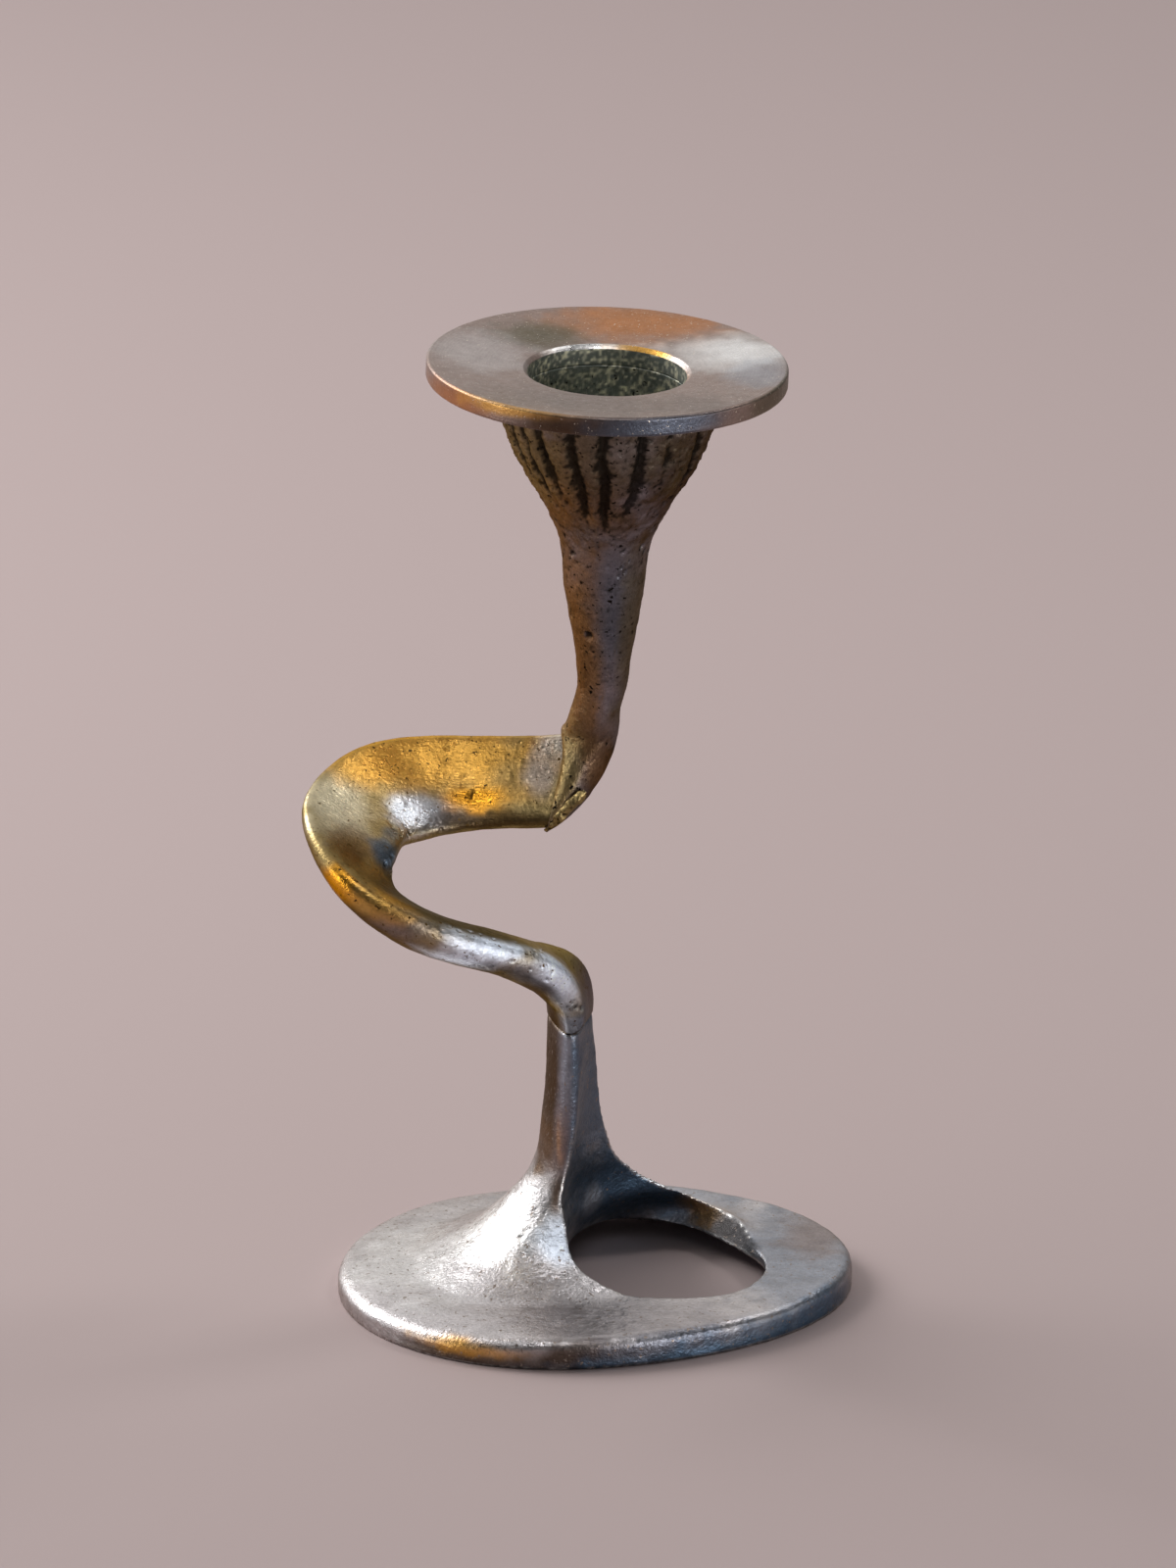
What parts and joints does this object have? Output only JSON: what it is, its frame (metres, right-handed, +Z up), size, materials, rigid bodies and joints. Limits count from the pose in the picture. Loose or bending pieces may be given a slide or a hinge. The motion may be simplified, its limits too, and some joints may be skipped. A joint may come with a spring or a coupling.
{
  "type": "candle holder",
  "caption": "Candle holder of cast bronze: a ribbon arm spirals up from a post on an oval base with an open eye to a trumpet under a turned drip pan.",
  "frame": {"origin": "middle of the base on the surface it stands on", "axes": "+Z up from the base to the drip pan, +X to the right as seen from the front, with the arm's loop on the left, +Y to the rear"},
  "size_m": [0.0815, 0.0679, 0.1464],
  "materials": {
    "base_bronze": "burnished cast bronze, silvery on its high places and dark in its hollows",
    "arm_bronze": "burnished cast bronze with a warm olive patina and fine pits",
    "stem_bronze": "cast bronze left rough on the trumpet, brown and slate-grey patina",
    "pan_bronze": "turned bronze with fine tool rings, darkened in patches",
    "dowel_steel": "plain turned pin",
    "braze": "rough golden braze"
  },
  "bodies": {
    "root": {"base_casting": "base_bronze", "spiral_arm": "arm_bronze", "socket_stem": "stem_bronze", "drip_pan": "pan_bronze", "elbow_dowel": "dowel_steel", "knee_dowel": "dowel_steel", "knee_braze": "braze"}
  },
  "joints": []
}
